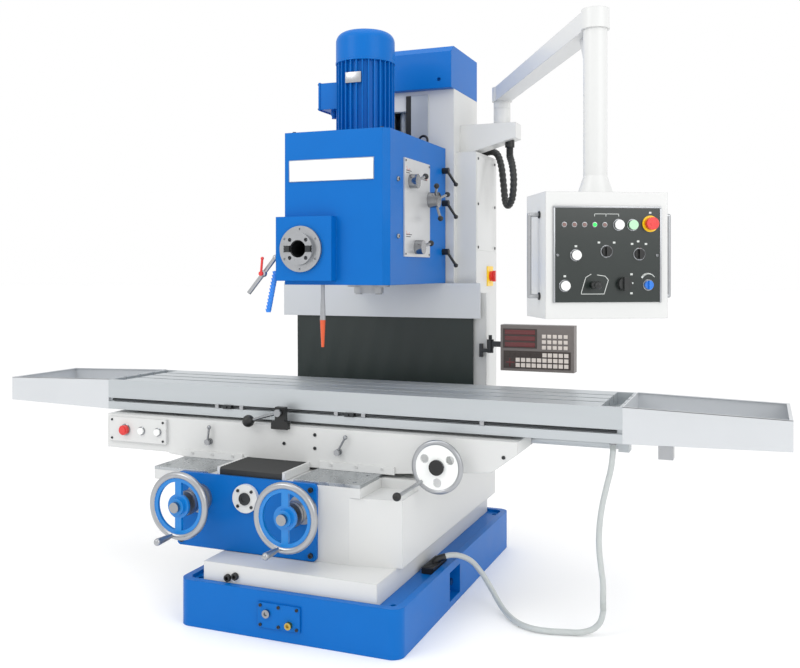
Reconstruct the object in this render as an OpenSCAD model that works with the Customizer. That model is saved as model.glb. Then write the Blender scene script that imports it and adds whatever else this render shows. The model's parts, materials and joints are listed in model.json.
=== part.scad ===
// Bed-type milling machine with a vertical and a horizontal spindle.
// Origin: floor, at the centre of the plinth. +X is to the operator's right,
// +Y to the back, +Z up. Millimetres.

/* [Plinth] */
// Width of the plinth
plinth_w = 900; // [860:10:1100]
// Depth of the plinth
plinth_d = 1424; // [1400:8:1600]
// Height of the plinth
plinth_h = 173; // [150:1:200]
// Radius of the plinth's vertical corners
plinth_r = 45; // [20:5:70]
// Width of the rim round the coolant gutter
rim_w = 28; // [16:1:34]
// Depth of the coolant gutter
gutter_depth = 12; // [8:1:20]
// Diameter of the anchor bolt holes
anchor_d = 22; // [14:1:30]

/* [Bed] */
// Height of the ground ways above the floor
way_z = 540; // [500:5:600]
// Height of the top of the bed's foot
foot_z = 240; // [215:5:260]
// Front face of the bed
bed_front = -530; // [-560:5:-500]
// Thickness of the slab that carries the ways
slab_t = 50; // [35:1:70]
// Thickness of the ground ways
way_t = 12; // [8:1:20]

/* [Saddle and table] */
// Height of the saddle casting
saddle_h = 160; // [140:5:170]
// Front face of the saddle
saddle_front = -320; // [-340:5:-300]
// Depth of the saddle, front to back
saddle_d = 510; // [480:5:515]
// Length of the table's working surface
table_l = 2106; // [1900:2:2300]
// Width of the table
table_w = 425; // [400:5:440]
// Thickness of the table
table_t = 131; // [110:1:140]
// Width of a T-slot's neck
slot_w = 18; // [14:1:22]
// Distance between the T-slots
slot_pitch = 100; // [80:5:110]
// Length of the splash tray at each end
tray_l = 560; // [400:10:620]
// Wall thickness of the splash trays
tray_wall = 4; // [3:0.5:6]
// Diameter of the table handwheel
table_wheel_d = 203; // [180:1:220]

/* [Head] */
// Width of the head casting
head_w = 457; // [440:1:480]
// Height of the head casting
head_h = 620; // [600:5:660]
// Wall thickness of the head casting
head_wall = 25; // [18:1:30]
// Height of the head's underside at rest
head_z = 1274; // [1250:2:1300]
// Diameter of both spindle noses
nose_d = 128.57; // [88.88:0.01:128.57]
// Diameter of the motor's shell
motor_d = 254; // [220:2:270]
// Height of the motor
motor_h = 460; // [420:5:500]

/* [Column] */
// Width of the column
column_w = 546; // [520:2:580]
// Height of the column's top above the floor, under its cap
column_top = 2170; // [2150:5:2250]
// Height of the cap
cap_h = 196; // [150:2:220]

/* [Handwheels] */
// Diameter of the two bed handwheels
wheel_d = 260; // [220:2:280]
// Diameter of a handwheel's rim bar
rim_d = 26; // [18:1:30]

/* [Pendant] */
// Reach of the pendant arm, from post to drop tube
arm_l = 1285; // [1150:5:1300]
// Diameter of the arm's post and drop tube
tube_d = 78; // [60:1:90]
// Width of the pendant box
pendant_w = 400; // [380:5:440]
// Depth of the pendant box
pendant_d = 217; // [180:1:230]
// Height of the pendant box
pendant_h = 400; // [380:5:420]
// Push button diameter on the pendant
button_d = 30; // [22:1:34]

/* [Fits] */
// Gap between pieces that move past each other
gap = 0.3; // [0.2:0.05:0.5]
// Radial clearance of a shaft in its bore
shaft_gap = 0.1; // [0.05:0.01:0.15]

/* [Hidden] */
$fn = 64;
gutter_z = plinth_h - gutter_depth;
slab_z = way_z - slab_t;
saddle_z = way_z + gap;
saddle_top = saddle_z + saddle_h - gap;
saddle_rear = saddle_front + saddle_d;
guide_t = 13;
table_z = saddle_top + guide_t;
table_top = table_z + table_t;
table_front = -281;
table_rear = table_front + table_w;
table_mid = (table_front + table_rear) / 2;
end_l = 77;
table_half = table_l / 2 + end_l;
head_x0 = -223;
head_x1 = head_x0 + head_w;
head_front = -300;
column_front = 400;
guide_face = column_front - 6.7;
head_rear = guide_face - gap;
head_top = head_z + head_h;
nose_r = nose_d / 2;
wheel_r = wheel_d / 2;
panel_front = bed_front - 15;
bed_rear = 746;
column_rear = 762;
cabinet_w = 742;
cabinet_top = 1880;
// Spindle axes: the vertical one in X and Y, the horizontal one in X and Z
vs_x = 0;
vs_y = 47;
hs_x = -123;
hs_z = head_z + 144;
ring_r = 92.5;
box_front = head_front - 45;
// Handwheels on the bed: their X, their height and the middle of their rims
wheel_x = [-467, -8];
wheel_z = 437;
wheel_y = -685;
stub_r = 15;
barrel_l = 100;
// Handwheel on the saddle
tw_x = 470;
tw_y = -390;
tw_z = 600;
// Screws
screw_r = 20;
ys_x = -254;
ys_z = 454;
xs_z = saddle_top - 27;
// Pendant
post_x = 463;
post_y = 540;
post_z = 2115;
arm_angle = -61;
drop_x = post_x + arm_l * cos(arm_angle);
drop_y = post_y + arm_l * sin(arm_angle);
pendant_turn = 29.5;
pendant_z = 1180;
sheet_t = 4;
panel_w = 342;
panel_h = 296;
face_y = -pendant_d / 2;
dro_x = 450;
dro_y = 388;

white = "whitesmoke";
blue = "royalblue";
steel = "silver";
dark = "dimgray";

// ---------- shared shapes ----------

// A plate with round vertical corners, centred on the origin
module rounded_plate(w, d, h, r) {
    linear_extrude(h) {
        square([w - 2 * r, d], center = true);
        square([w, d - 2 * r], center = true);
        for (x = [-1, 1])
            for (y = [-1, 1])
                translate([x * (w / 2 - r), y * (d / 2 - r)]) circle(r);
    }
}

// A round bar from the origin, forwards along -Y
module forward(r, l) rotate([90, 0, 0]) cylinder(r = r, h = l);

// A round bar from the origin, to the right along +X
module rightward(r, l) rotate([0, 90, 0]) cylinder(r = r, h = l);

// A round bar between two points
module bar(a, b, r) {
    v = b - a;
    l = norm(v);
    translate(a) rotate([0, acos(v[2] / l), atan2(v[1], v[0])]) cylinder(r = r, h = l);
}

// A socket-head screw that faces forwards, its seat at the origin
module front_screw(r, h) {
    difference() {
        forward(r, h);
        translate([0, -h / 2, 0]) forward(r / 2, h);
    }
}

// A tube swept along a route of points, n sides
function unit(v) = v / norm(v);
function along(p, i) = unit(p[min(i + 1, len(p) - 1)] - p[max(i - 1, 0)]);
function across(t) = abs(t[2]) > 0.9 ? unit(cross(t, [0, 1, 0])) : unit(cross(t, [0, 0, 1]));
function side(d, s) = unit(s - d * (s * d));
function frames(p, i, s) = i == len(p) ? [] :
    let (d = along(p, i), u = side(d, s)) concat([[d, u]], frames(p, i + 1, u));
module swept(p, r, n) {
    f = frames(p, 0, across(along(p, 0)));
    pts = [for (i = [0:len(p) - 1]) for (k = [0:n - 1])
        p[i] + r * (cos(360 * k / n) * f[i][1] + sin(360 * k / n) * cross(f[i][0], f[i][1]))];
    sides = [for (i = [0:len(p) - 2]) for (k = [0:n - 1])
        [i * n + k, i * n + (k + 1) % n, (i + 1) * n + (k + 1) % n, (i + 1) * n + k]];
    first = [for (k = [0:n - 1]) n - 1 - k];
    last = [for (k = [0:n - 1]) (len(p) - 1) * n + k];
    polyhedron(pts, concat([first], sides, [last]), convexity = 10);
}

// A smooth route through chosen points, m steps to each span
function catmull(a, b, c, d, t) = 0.5 * (2 * b + (c - a) * t + (2 * a - 5 * b + 4 * c - d) * t * t
    + (3 * b - a - 3 * c + d) * t * t * t);
function smooth(p, m) = concat([for (i = [0:len(p) - 2]) for (k = [0:m - 1])
    catmull(p[max(i - 1, 0)], p[i], p[i + 1], p[min(i + 2, len(p) - 1)], k / m)], [p[len(p) - 1]]);

// ---------- plinth and bed ----------

pocket_y = -120;
pocket_w = 130;
pocket_h = 115;
pocket_depth = 45;

module plinth() color(blue) difference() {
    rounded_plate(plinth_w, plinth_d, plinth_h, plinth_r);
    translate([0, 0, gutter_z])
        rounded_plate(plinth_w - 2 * rim_w, plinth_d - 2 * rim_w, plinth_h, plinth_r - rim_w / 2);
    for (x = [-1, 1])
        for (y = [-1, 1])
            translate([x * (plinth_w / 2 - rim_w - 26), y * (plinth_d / 2 - rim_w - 44), -1])
                cylinder(d = anchor_d, h = plinth_h);
    // Coolant tank
    translate([-plinth_w / 2 + 90, -plinth_d / 2 + 120, 25])
        cube([plinth_w - 180, plinth_d - 240, gutter_z - 55]);
    translate([plinth_w / 2 - pocket_depth, pocket_y - pocket_w / 2, 25])
        cube([pocket_depth + 1, pocket_w, pocket_h]);
}

plate_w = 172;
plate_h = 90;
plate_x = -17;
plate_z = 89;

module plinth_covers() {
    y = -plinth_d / 2;
    color(blue) translate([plate_x - plate_w / 2, y - 8, plate_z - plate_h / 2])
        cube([plate_w, 8, plate_h]);
    color(steel) for (x = [-1, 0, 1])
        for (z = [-1, 1])
            translate([plate_x + x * (plate_w / 2 - 12), y - 8, plate_z + z * (plate_h / 2 - 10)])
                front_screw(6, 4);
    color("white") translate([plate_x - 48, y - 8, plate_z + 8]) front_screw(15, 10);
    color("goldenrod") translate([plate_x + 44, y - 8, plate_z - 22]) front_screw(13, 14);
    color(steel) translate([plinth_w / 2 - pocket_depth, pocket_y + 25, 75])
        rotate([0, 90, 0]) cylinder(r = 15, h = 24, $fn = 6);
    color("black") translate([plinth_w / 2 - rim_w - 52, -290, gutter_z]) cube([48, 160, 24]);
}

bed_left = -593;
bed_right = 173;
body_right = 371;
slab_left = -694;
slab_right = 219;
channel_w = 92;

module bed() color(white) difference() {
    union() {
        translate([-358, -680, gutter_z]) cube([708, 1360, foot_z - gutter_z]);
        translate([0, 0, foot_z]) linear_extrude(slab_z - foot_z) polygon([
            [bed_left, bed_front], [bed_right, bed_front], [body_right, bed_front + 37],
            [body_right, bed_rear], [bed_left, bed_rear]]);
        translate([slab_left, bed_front, slab_z])
            cube([slab_right - slab_left, column_front - bed_front, slab_t - way_t]);
        translate([slab_right, bed_front + 200, slab_z])
            cube([body_right - slab_right, column_front - bed_front - 200, slab_t - way_t]);
        translate([-body_right, column_front, slab_z])
            cube([2 * body_right, bed_rear - column_front, slab_t]);
    }
    translate([0, bed_front - 1, foot_z - 0.01]) rotate([90, 0, 0]) mirror([0, 0, 1])
        linear_extrude(bed_rear - bed_front + 2)
            polygon([[bed_left - 1, 0], [bed_left + 110, 0], [bed_left - 1, 33]]);
    translate([ys_x - channel_w / 2, bed_front + 30, ys_z - 44])
        cube([channel_w, column_front - bed_front - 60, way_z]);
    // The casting is hollow, with one rib across
    for (y = [[bed_front + 50, 560], [bed_front + 650, 576]])
        translate([bed_left + 50, y[0], foot_z + 20])
            cube([body_right - bed_left - 100, y[1], ys_z - foot_z - 90]);
}

module bed_ways() color(steel) difference() {
    for (x = [[slab_left, -440], [-60, slab_right]])
        translate([x[0], bed_front, way_z - way_t])
            cube([x[1] - x[0], column_front - bed_front - 2, way_t]);
    for (x = [slab_left + 40, slab_right - 40])
        for (y = [bed_front + 40, bed_front + 160])
            translate([x, y, way_z - 4]) cylinder(r = 8, h = 10);
}

panel_x0 = -573;
panel_x1 = 45;
panel_z0 = foot_z + 2;
panel_z1 = way_z - 8;

module gear_panel() {
    color(blue) translate([(panel_x0 + panel_x1) / 2, bed_front, (panel_z0 + panel_z1) / 2])
        rotate([90, 0, 0])
            rounded_plate(panel_x1 - panel_x0, panel_z1 - panel_z0, bed_front - panel_front, 16);
    color(steel) for (x = [panel_x0 + 22, panel_x1 - 22])
        for (z = [panel_z0 + 22, panel_z1 - 22])
            translate([x, panel_front, z]) front_screw(10, 8);
    color(white) translate([ys_x, panel_front, ys_z]) forward(55, 16);
    color(dark) translate([ys_x, panel_front - 16, ys_z]) front_screw(24, 5);
    color(dark) for (a = [45:90:315])
        translate([ys_x + 42 * cos(a), panel_front - 16, ys_z + 42 * sin(a)]) front_screw(6, 4);
}

module feed_barrels() color(white) for (x = wheel_x)
    translate([x, panel_front, wheel_z]) difference() {
        union() {
            forward(56, 15);
            forward(38, barrel_l - 34);
            translate([0, -barrel_l + 34, 0]) forward(46, 34);
        }
        translate([0, -barrel_l + 70, 0]) forward(stub_r + shaft_gap, 80);
    }

// The cross feed screw lies in the bed's channel, the lift screw stands in the column
module lead_screws() color(steel) {
    translate([ys_x, column_front - 30, ys_z]) forward(screw_r, column_front - 60 - bed_front);
    translate([0, 470, 620]) cylinder(r = screw_r, h = 1500);
}

// ---------- column ----------

wall = 40;
slot_half = 36;

module column() color(white) difference() {
    union() {
        translate([-column_w / 2, column_front, way_z])
            cube([column_w, column_rear - column_front, column_top - way_z]);
        translate([-cabinet_w / 2, column_front + 30, way_z])
            cube([cabinet_w, column_rear - column_front - 24, cabinet_top - way_z]);
        translate([cabinet_w / 2, column_front, way_z]) cube([57, 40, 690]);
        translate([column_w / 2, column_front, way_z]) cube([(cabinet_w - column_w) / 2, 30, 690]);
    }
    translate([-column_w / 2 + wall, column_front + wall, 620])
        cube([column_w - 2 * wall, column_rear - column_front - 2 * wall, 1500]);
    translate([-slot_half, column_front - 1, 1000]) cube([2 * slot_half, wall + 2, 1080]);
}

module column_cap() color(blue) difference() {
    translate([-column_w / 2, column_front - 40, column_top]) rotate([90, 0, 90])
        linear_extrude(column_w) polygon([[0, 0], [column_rear - column_front + 40, 0],
            [column_rear - column_front + 40, cap_h], [36, cap_h], [0, cap_h - 30]]);
    for (x = [-1, 1])
        translate([x * (column_w / 2 - 60), column_front - 41, column_top + 40])
            rotate([-90, 0, 0]) cylinder(r = 9, h = 16);
}

module column_ways() {
    color("darkgray") for (x = [64, -148])
        translate([x, guide_face, 1000]) cube([84, column_front - guide_face, 1150]);
    color("black") translate([38, guide_face + 1, 1000])
        cube([26, column_front - guide_face - 1, 1150]);
    color("black") translate([-64, guide_face + 1, 1000])
        cube([26, column_front - guide_face - 1, 1150]);
}

// Pendant bracket with its pin, the readout's post, the switch plate and the cable glands
module column_fittings() {
    color(white) translate([column_w / 2, 490, cabinet_top + 4]) cube([12, 265, 130]);
    color(white) translate([column_w / 2 + 12, 590, cabinet_top + 4]) rotate([90, 0, 0])
        linear_extrude(100) polygon([[0, 0], [40, 0], [256, 60], [256, 130], [0, 130]]);
    color(white) translate([post_x, post_y, cabinet_top + 134])
        cylinder(d = tube_d, h = post_z - cabinet_top - 164);
    color(steel) translate([post_x, post_y, cabinet_top + 134])
        cylinder(r = 22, h = post_z - cabinet_top - 84);
    color("gold") translate([cabinet_w / 2, 600, 1258]) difference() {
        cube([5, 92, 94]);
        translate([-1, 46, 47]) rightward(8 + shaft_gap, 10);
    }
    color(dark) translate([dro_x, dro_y, 960]) cylinder(r = 14, h = 20);
    color(dark) translate([dro_x - 50, dro_y - 8, 962]) cube([50, 16, 16]);
    color(dark) translate([dro_x - 50, dro_y - 8, 940]) cube([14, column_front - dro_y + 8, 60]);
    color(dark) translate([dro_x, dro_y, 980]) cylinder(r = 8, h = 60);
    color("black") translate([column_w / 2, 720, cabinet_top + 30]) rightward(22, 30);
    color("black") translate([500, 540, cabinet_top + 25]) cylinder(r = 22, h = 40);
}

conduit_route = [[303, 720, 1910], [320, 720, 1910], [337, 720, 1910], [368, 716, 1912],
    [398, 700, 1892],
    [424, 672, 1830], [446, 630, 1740], [468, 580, 1660], [494, 540, 1636], [518, 518, 1670],
    [526, 512, 1750], [516, 524, 1820], [501, 539, 1862], [500, 540, 1877], [500, 540, 1891],
    [500, 540, 1905]];

module arm_conduit() color("black") swept(smooth(conduit_route, 3), 17, 10);

// The folded cover in front of the saddle
fold = 20;

module way_bellows() color("black") {
    x0 = -400;
    l = saddle_front - gap - (bed_front + 4);
    n = floor(l / fold);
    p = l / n;
    translate([x0, bed_front + 4, way_z - way_t]) rotate([90, 0, 90]) linear_extrude(302)
        polygon(concat([[0, 0]], [for (i = [0:n - 1]) each [[i * p, 26], [(i + 0.5) * p, 34]]],
            [[l, 26], [l, 0]]));
}

module apron() color([0.14, 0.18, 0.17]) translate([-529, 378, way_z])
    cube([901, 8, head_z - 14 - way_z]);

// The drain hose: down from the table, along the floor and up over the gutter's rim
hose_r = 11;
hose_a = [[1090, -235, 705], [1090, -235, 690], [1090, -235, 672], [1083, -235, 612],
    [1066, -235, 540], [1051, -235, 470], [1042, -235, 400], [1040, -235, 330],
    [1046, -235, 260], [1054, -236, 200], [1055, -236, 160], [1055, -236, 140],
    [1055, -236, 120]];
hose_b = [[1055, -236, 120], [1055, -236, 104], [1055, -236, 88], [1045, -240, 52],
    [1018, -250, 25], [975, -264, 13],
    [930, -275, 12], [870, -290, 12], [810, -290, 12], [750, -262, 12], [690, -200, 14],
    [640, -140, 30], [600, -110, 70], [560, -104, 124], [520, -114, 172], [480, -140, 198],
    [445, -170, 206], [414, -196, 199]];

module hose_upper() color("silver") swept(smooth(hose_a, 2), hose_r, 10);

module hose_lower() color("silver") swept(smooth(hose_b, 2), hose_r, 10);

// ---------- saddle ----------

button_z = 636;
side_buttons = [-994, -909, -824];
lever_x = [-570, 32];
lever_z = 612;
trip_x = -222;
trip_z = 757;
bridge_w = 80;

module saddle() color(white) difference() {
    union() {
        translate([0, saddle_rear, 0]) rotate([90, 0, 0]) linear_extrude(saddle_d) polygon([
            [-776, saddle_z + 6], [-700, saddle_z], [slab_right + 6, saddle_z],
            [309, saddle_z + 7], [657, saddle_z + 39], [758, saddle_z + 114],
            [758, saddle_top], [-776, saddle_top]]);
        translate([-1100, saddle_front, saddle_z + 12]) cube([324, 260, saddle_h - 12 - gap]);
        translate([-700, table_mid - 150, saddle_top])
            cube([1400, 300, guide_t - gap]);
    }
    translate([-1101, table_mid - bridge_w / 2, xs_z - 28])
        cube([1860, bridge_w, 100]);
    translate([tw_x, saddle_front - 1, tw_z]) rotate([-90, 0, 0])
        cylinder(r = stub_r + shaft_gap, h = 40);
}

// Wipers, wheel boss, trip box, lever bosses, button plate and the two feed nuts
module saddle_fittings() {
    color("slategray") for (w = [[-697, 290], [-52, 324]]) {
        translate([w[0], saddle_front - 8, way_z + gap]) cube([w[1], 8, 30]);
        for (k = [0.16, 0.5, 0.84])
            translate([w[0] + k * w[1], saddle_front - 8, way_z + 20]) front_screw(6, 4);
    }
    color(white) translate([tw_x, saddle_front, tw_z]) difference() {
        forward(48, 32);
        forward(stub_r + shaft_gap, 33);
    }
    color("black") translate([-262, saddle_front - 26, 688]) cube([74, 26, 34]);
    color("black") translate([trip_x - 22, saddle_front - 26, 722]) difference() {
        cube([44, 26, 56]);
        translate([22, -1, trip_z - 722]) rotate([-90, 0, 0]) cylinder(r = 7 + shaft_gap, h = 28);
    }
    color(steel) for (x = lever_x) translate([x, saddle_front, lever_z]) difference() {
        forward(14, 12);
        translate([0, 1, 0]) forward(6 + shaft_gap, 14);
    }
    color(white) translate([-1082, saddle_front - 14, 584]) difference() {
        cube([300, 14, 106]);
        for (x = side_buttons)
            translate([x + 1082, -1, button_z - 584]) rotate([-90, 0, 0])
                cylinder(r = 8 + shaft_gap, h = 16);
    }
    color("peru") translate([ys_x - 40, -160, ys_z - 38]) difference() {
        cube([80, 120, saddle_z - ys_z + 38]);
        translate([40, -1, 38]) rotate([-90, 0, 0])
            cylinder(r = screw_r + shaft_gap, h = 122);
    }
    color("peru") translate([-60, table_mid - 36, xs_z - 28]) difference() {
        cube([120, 72, 54]);
        translate([-1, 36, 28]) rightward(screw_r + shaft_gap, 122);
    }
}

// A hand lever: hub, bar and ball. Its axis is Y and its hub starts at the origin
module front_lever(hub_r, hub_l, end, bar_r, ball_r, stub_r, stub_l) {
    forward(hub_r, hub_l);
    bar([0, -hub_l / 2, 0], [end[0], -hub_l / 2, end[1]], bar_r);
    translate([end[0], -hub_l / 2, end[1]]) rotate([90, -atan2(end[1], end[0]), 0]) sphere(ball_r);
    translate([0, stub_l, 0]) forward(stub_r, stub_l + 1);
}

module feed_lever() color(steel) translate([trip_x, saddle_front - 26 - gap, trip_z])
    front_lever(15, 22, [-139, -41], 6, 25, 7, 22);

module lock_lever_left() color(steel) translate([lever_x[0], saddle_front - 12 - gap, lever_z])
    front_lever(12, 14, [8, 62], 4.5, 9, 6, 10);

module lock_lever_right() color(steel) translate([lever_x[1], saddle_front - 12 - gap, lever_z])
    front_lever(12, 14, [36, 62], 4.5, 9, 6, 10);

// A push button that faces forwards; its shank runs in the plate behind it
module front_button(r, head_l, shank_r, shank_l, travel) {
    translate([0, -travel - gap, 0]) forward(r, head_l);
    translate([0, shank_l - travel - gap, 0]) forward(shank_r, shank_l + 1);
}

module saddle_stop() color("red") translate([side_buttons[0], saddle_front - 14, button_z]) {
    front_button(21, 16, 8, 9, 4);
    translate([0, -20, 0]) forward(15, 3);
}

module saddle_start() color("white")
    translate([side_buttons[1], saddle_front - 14, button_z]) front_button(14, 8, 8, 9, 4);

module saddle_jog() color("white")
    translate([side_buttons[2], saddle_front - 14, button_z]) front_button(14, 8, 8, 9, 4);

// ---------- table ----------

module table() color(steel) difference() {
    translate([-table_half, table_front, table_z]) cube([2 * table_half, table_w, table_t]);
    for (k = [-1, 0, 1]) {
        y = table_mid + k * slot_pitch;
        translate([-table_half - 1, y - slot_w / 2, table_top - 34])
            cube([2 * table_half + 2, slot_w, 40]);
        translate([-table_half - 1, y - slot_w * 0.83, table_top - 34])
            cube([2 * table_half + 2, slot_w * 1.66, 14]);
    }
    for (x = [-table_half + 12, table_l / 2])
        translate([x, table_front + 12, table_top - 48]) cube([end_l - 12, table_w - 24, 60]);
    translate([-table_half - 1, table_front - 1, table_z + 34]) cube([2 * table_half + 2, 13, 16]);
}

// A splash tray: a sheet trough, shallower at its outer end
module tray() difference() {
    tray_profile(0);
    translate([tray_wall, 0, tray_wall]) tray_profile(tray_wall);
}

module tray_profile(t) translate([table_half, table_rear - t, 0]) rotate([90, 0, 0])
    linear_extrude(table_w - 2 * t) polygon([[0, table_z], [tray_l - 2 * t, table_z + 12],
        [tray_l - 2 * t, table_top - 13 + 3 * t], [0, table_top + 2 + 3 * t]]);

module tray_left() color("gainsboro") mirror([1, 0, 0]) tray();

module tray_right() color("gainsboro") tray();

module table_fittings() {
    // Trip dogs in the front groove
    color(dark) for (x = [-506, 61]) translate([x - 20, table_front - 10, table_z + 34])
        difference() {
            cube([40, 21, 16]);
            translate([20, -1, 8]) rotate([-90, 0, 0]) cylinder(r = 4, h = 8);
        }
    // Table screw and the two brackets that hold it
    color(steel) translate([-table_half + 40, table_mid, xs_z])
        rightward(screw_r, 2 * table_half - 80);
    color(steel) for (x = [-table_half, table_half - 40])
        translate([x, table_mid - 32, xs_z - 24]) cube([40, 64, table_z - xs_z + 24]);
    // Outlet under the right tray and the hose's elbow under the table
    color("darkgray") translate([table_half + 123, table_front + 6, table_z - 46])
        cube([51, 50, 48]);
    color("darkgray") translate([1090, -235, 705]) cylinder(r = 15, h = table_z - 705);
}

// ---------- head ----------

module head() color(blue) difference() {
    union() {
        difference() {
            translate([head_x0, head_front, head_z])
                cube([head_w, head_rear - head_front, head_h]);
            translate([head_x0 + head_wall, head_front + head_wall, head_z + head_wall])
                cube([head_w - 2 * head_wall, head_rear - head_front - 2 * head_wall,
                    head_h - 2 * head_wall]);
            // The front right edge is bevelled
            translate([head_x1, head_front, head_z - 1]) rotate([0, 0, 45])
                cube([34, 34, 2 * head_h + 4], center = true);
        }
        // Box of the horizontal spindle, and its inner bearing wall
        translate([head_x0 - 17, box_front, head_z + 16]) cube([250, 60, 259]);
        translate([head_x0 - 17, box_front, head_z + 16]) cube([17, 400, 259]);
        translate([head_x0 + head_wall - 1, -160, head_z + head_wall - 1]) cube([165, 24, 260]);
        // Bridge for the vertical spindle's upper bearing
        translate([head_x0 + head_wall - 1, vs_y - 80, head_z + 326])
            cube([head_w - 2 * head_wall + 2, 160, 26]);
        // Lug that reaches through the column's slot to the lift screw
        translate([-28, head_rear - head_wall, head_z + 250]) cube([56, 150, 60]);
    }
    translate([vs_x, vs_y, head_z - 1]) cylinder(r = 80, h = 60);
    translate([vs_x, vs_y, head_z + 300]) cylinder(r = 50 + shaft_gap, h = 60);
    translate([hs_x, box_front - 1, hs_z]) rotate([-90, 0, 0]) cylinder(r = 78, h = 90);
    translate([hs_x, -170, hs_z]) rotate([-90, 0, 0]) cylinder(r = 45 + shaft_gap, h = 50);
    translate([0, 470, head_z + 200]) cylinder(r = screw_r + shaft_gap, h = 200);
    for (p = lever_hubs)
        translate([head_x1 - head_wall - 1, p[0], p[1]]) rightward(10 + shaft_gap, 40);
}

// Gear levers on the right side: Y and Z of each hub
lever_hubs = [[-69, head_z + 427], [158, head_z + 366], [-4, head_z + 156]];
side_t = 6;

// Rings that hold the spindle bearings, with six screws each
module ring(bore) difference() {
    union() {
        cylinder(r = ring_r, h = 13);
        translate([0, 0, 13]) cylinder(r = 77, h = 22);
    }
    translate([0, 0, -1]) cylinder(r = bore, h = 40);
    for (a = [0:60:300])
        rotate([0, 0, a + 30]) translate([80, 0, -1]) cylinder(r = 5, h = 6);
}

module spindle_rings() color(steel) {
    translate([vs_x, vs_y, head_z - 13]) ring(nose_r + shaft_gap);
    translate([hs_x, box_front - 13, hs_z]) rotate([-90, 0, 0]) ring(nose_r + shaft_gap);
}

// A spindle with its nose at the origin, pointing down, and its body going up
module spindle(body_r, body_z, body_l) difference() {
    union() {
        cylinder(r = nose_r, h = body_z);
        translate([0, 0, body_z]) cylinder(r = body_r, h = body_l);
        for (a = [0, 180])
            rotate([0, 0, a]) translate([36, -12.7, -6]) cube([22, 25.4, 8]);
    }
    translate([0, 0, -1]) cylinder(r1 = 35.2, r2 = 19.2, h = 111);
    translate([0, 0, 100]) cylinder(r = 13, h = body_l + body_z);
    for (a = [45:90:315])
        rotate([0, 0, a]) translate([50.8, 0, -1]) cylinder(r = 8, h = 31);
}

module vertical_spindle() color(steel) translate([vs_x, vs_y, head_z - 40])
    spindle(50, 90, 350);

module horizontal_spindle() color(steel) translate([hs_x, box_front - 32, hs_z])
    rotate([-90, 0, 0]) spindle(45, 80, 150);

sheet_rear = 376;

module head_plates() {
    color("white") translate([-202, head_front - 3, head_z + 418]) cube([376, 3, 88]);
    color("lightgray") translate([head_x1, -138, head_z + 115]) difference() {
        cube([side_t, 304, 405]);
        for (p = lever_hubs)
            translate([-1, p[0] + 138, p[1] - head_z - 115]) rightward(10 + shaft_gap, 10);
    }
    color("lightgray") translate([-596, sheet_rear - 10, head_z - 160]) cube([1005, 10, 160]);
}

motor_y = 10;

module motor() translate([0, motor_y, head_top]) {
    color(blue) {
        translate([-125, -125, 0]) cube([250, 250, 18]);
        cylinder(r = motor_d / 2 - 16, h = motor_h - 60);
        for (a = [0:12:348])
            rotate([0, 0, a]) translate([motor_d / 2 - 20, -2.5, 17]) cube([19, 5, 311]);
        translate([0, 0, motor_h - 134]) rotate_extrude() polygon(concat(
            [[0, 0], [motor_d / 2, 0], [motor_d / 2, 92]],
            [for (a = [10:10:90]) [motor_d / 2 - 42 + 42 * cos(a), 92 + 42 * sin(a)]],
            [[0, 134]]));
        translate([-190, -60, 134]) cube([112, 120, 114]);
    }
}

pipe_stub = 14;
pipe_a = [head_x0 - 17 - pipe_stub, -322, head_z + 111];
pipe_b = [-371, -336, head_z - 35];
valve_at = 0.45;

// Coolant pipe with its cock, and the second line with its nozzle
module coolant_line() {
    color("gray") translate([head_x0 - 17 - pipe_stub, pipe_a[1], pipe_a[2]])
        rightward(9, pipe_stub);
    color("gray") translate(pipe_a) rotate([90, -116, 0]) sphere(12);
    color("gray") bar(pipe_a, pipe_b, 9);
    color("gray") translate(pipe_a + valve_at * (pipe_b - pipe_a)) rotate([90, 0, 0]) sphere(15);
    color("dodgerblue") for (i = [0:11])
        translate([-262 - 3 * i, -322 + 14, head_z + 40 - 14 * i])
            cylinder(r1 = 9.4, r2 = 13, h = 14.4);
    color("dodgerblue") translate([-268, -308, head_z + 47]) rightward(10, 28);
    color("darkgray") translate([-100, -200, head_z - 62]) cylinder(r = 8.5, h = 62);
    color("darkgray") translate([-100, -200, head_z - 147]) cylinder(r1 = 12, r2 = 9, h = 87);
    color("orangered") translate([-100, -200, head_z - 259]) cylinder(r1 = 6, r2 = 11.5, h = 112.5);
}

module valve_handle() color("red")
    translate(pipe_a + valve_at * (pipe_b - pipe_a) + [0, -15 - gap, 0]) {
        forward(9, 10);
        bar([0, -5, 0], [6, -5, 62], 5);
        translate([6, -5, 62]) sphere(7);
    }

// ---------- levers on the head ----------

// Hub, bar and ball on the right side; the axis is X and the hub starts at the origin
module side_lever(hub_r, hub_l, ends, bar_r, ball_r) {
    rightward(hub_r, hub_l);
    translate([-side_t - head_wall + 2, 0, 0]) rightward(10, side_t + head_wall);
    for (e = ends) {
        bar([hub_l * 0.6, 0, 0], [hub_l * 0.6 + e[0], e[1], e[2]], bar_r);
        translate([hub_l * 0.6 + e[0], e[1], e[2]]) sphere(ball_r);
    }
}

module speed_lever() color(steel)
    translate([head_x1 + side_t + gap, lever_hubs[0][0], lever_hubs[0][1]])
        side_lever(30, 34, [[18, 74, 26]], 7, 13);

module range_lever() color(steel)
    translate([head_x1 + side_t + gap, lever_hubs[1][0], lever_hubs[1][1]])
        side_lever(34, 44, [for (a = [20, 140, 260]) [30, 84 * cos(a), 84 * sin(a)]], 6, 12);

module quill_lever() color(steel)
    translate([head_x1 + side_t + gap, lever_hubs[2][0], lever_hubs[2][1]])
        side_lever(30, 34, [[18, 76, 18]], 7, 13);

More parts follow.
